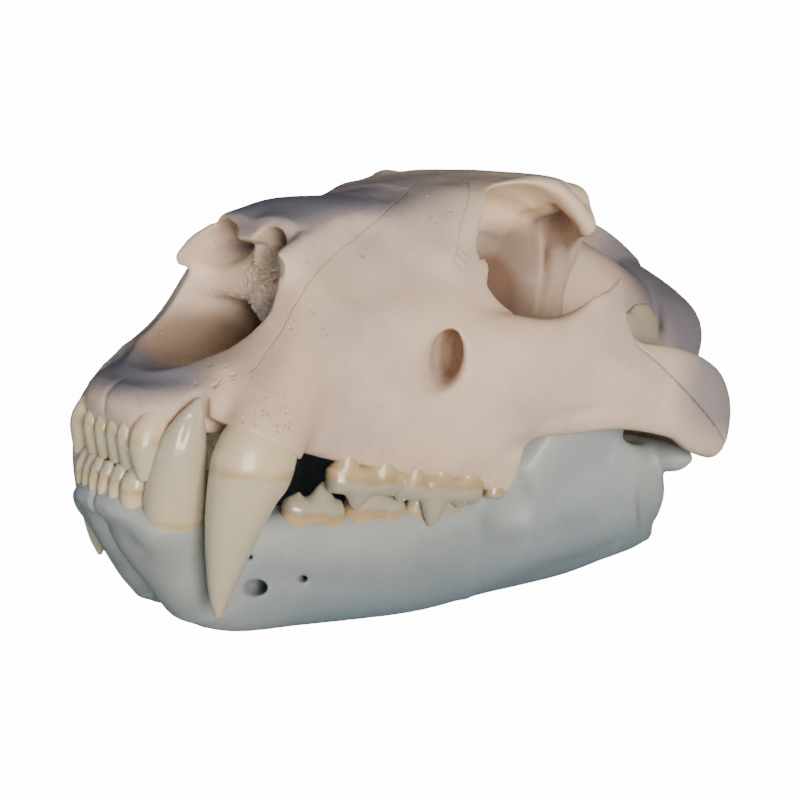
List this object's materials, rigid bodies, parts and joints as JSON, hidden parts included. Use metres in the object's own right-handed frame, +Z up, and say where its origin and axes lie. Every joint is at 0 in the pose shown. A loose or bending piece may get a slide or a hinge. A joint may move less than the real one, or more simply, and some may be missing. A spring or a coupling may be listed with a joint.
{
  "type": "lion skull",
  "caption": "Life-size lion skull with its lower jaw shut, resting on the jaw with the nose raised, with long bared canines, cheek teeth and wide cheek arches.",
  "frame": {"origin": "centre of the bounding box in plan, at the floor that the lower jaw rests on", "axes": "+Z up, -Y the way the nose points, +X the skull's left side"},
  "size_m": [0.2216, 0.3618, 0.1791],
  "materials": {
    "skull_bone": "matte",
    "jaw_bone": "matte",
    "enamel": "gloss"
  },
  "bodies": {
    "root": {"muzzle": "skull_bone", "braincase": "skull_bone", "zygomatic_arch_left": "skull_bone", "zygomatic_arch_right": "skull_bone", "mandible_left": "jaw_bone", "mandible_right": "jaw_bone"}
  },
  "joints": []
}
